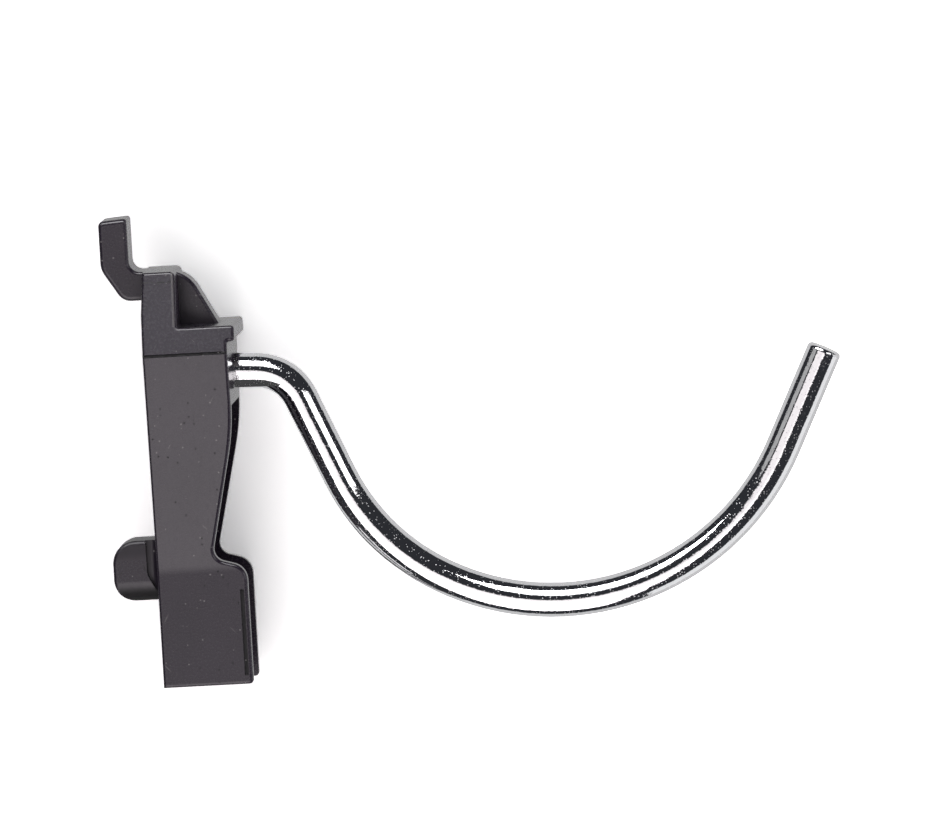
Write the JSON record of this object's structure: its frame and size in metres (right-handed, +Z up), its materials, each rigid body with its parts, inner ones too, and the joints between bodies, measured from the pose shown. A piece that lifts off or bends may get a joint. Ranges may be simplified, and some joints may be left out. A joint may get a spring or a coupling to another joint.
{
  "type": "power drill holder",
  "caption": "Panel hook for a power drill: moulded carrier that clips into square perforations, with a bent chromed rod that cradles the tool.",
  "frame": {"origin": "on the face of the panel, on the plane of symmetry, halfway between the two holes that the carrier hooks into", "axes": "+X out of the panel, +Y across the carrier, +Z up"},
  "size_m": [0.0926, 0.02, 0.0591],
  "materials": {
    "moulding": "semi-gloss black moulding",
    "plated_rod": "bright chrome plating"
  },
  "bodies": {
    "root": {"carrier": "moulding", "hook_rod": "plated_rod"}
  },
  "joints": []
}
